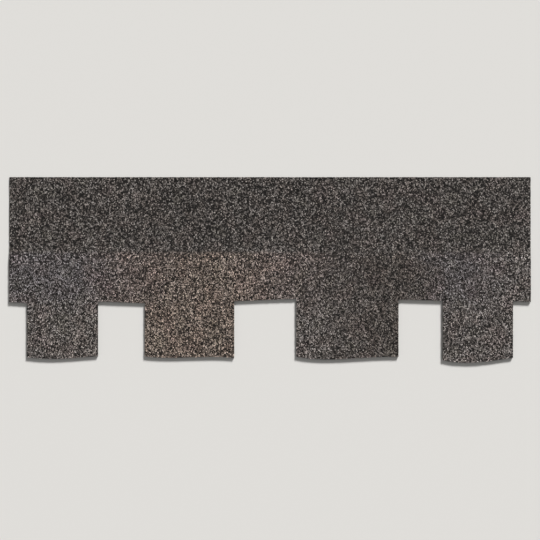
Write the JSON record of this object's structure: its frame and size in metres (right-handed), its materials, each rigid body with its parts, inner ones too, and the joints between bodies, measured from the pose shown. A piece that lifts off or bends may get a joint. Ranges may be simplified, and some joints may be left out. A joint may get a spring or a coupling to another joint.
{
  "type": "laminated asphalt shingle",
  "caption": "Flat two-ply asphalt roof shingle with a granule face, random-width tabs with gently curved butt edges, open slots between them and a plain headlap.",
  "frame": {"origin": "centre of the shingle's bounding box in X and Y, on the surface it lies on", "axes": "+X along the course, the shingle's long way; +Y up the roof slope, from the tabs' butts to the headlap's top edge; +Z out of the roof, on the granule side"},
  "size_m": [1.016, 0.362, 0.0054],
  "materials": {
    "granule_ply": "matte crushed mineral granules set in asphalt",
    "backing_ply": "asphalt-coated glass mat, dusted with mineral fines",
    "sealant": "glossy black bitumen",
    "release_film": "clear polyester film"
  },
  "bodies": {
    "root": {"overlay_ply": "granule_ply", "backing_ply": "backing_ply", "release_film": "release_film", "sealant_dash_01": "sealant", "sealant_dash_02": "sealant", "sealant_dash_03": "sealant", "sealant_dash_04": "sealant", "sealant_dash_05": "sealant", "sealant_dash_06": "sealant", "sealant_dash_07": "sealant", "sealant_dash_08": "sealant", "sealant_dash_09": "sealant", "sealant_dash_10": "sealant", "sealant_dash_11": "sealant", "sealant_dash_12": "sealant", "sealant_dash_13": "sealant"}
  },
  "joints": []
}
